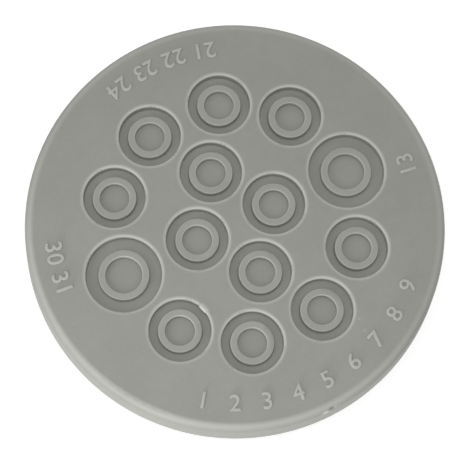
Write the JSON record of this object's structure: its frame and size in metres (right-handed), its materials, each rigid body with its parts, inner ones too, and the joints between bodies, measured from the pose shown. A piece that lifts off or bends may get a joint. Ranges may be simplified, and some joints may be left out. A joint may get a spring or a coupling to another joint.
{
  "type": "cable grommet",
  "caption": "Round snap-in cable grommet of soft elastomer: a domed flange with closed ring-shaped cable cells, a groove for the panel, a snap bead and a hollow collar.",
  "frame": {"origin": "centre of the collar's end, which the part stands on", "axes": "+Z out of the panel through the middle of the face, +X through the large cells"},
  "size_m": [0.0608, 0.0608, 0.0186],
  "materials": {
    "elastomer": "matte moulded"
  },
  "bodies": {
    "root": {"grommet": "elastomer"}
  },
  "joints": []
}
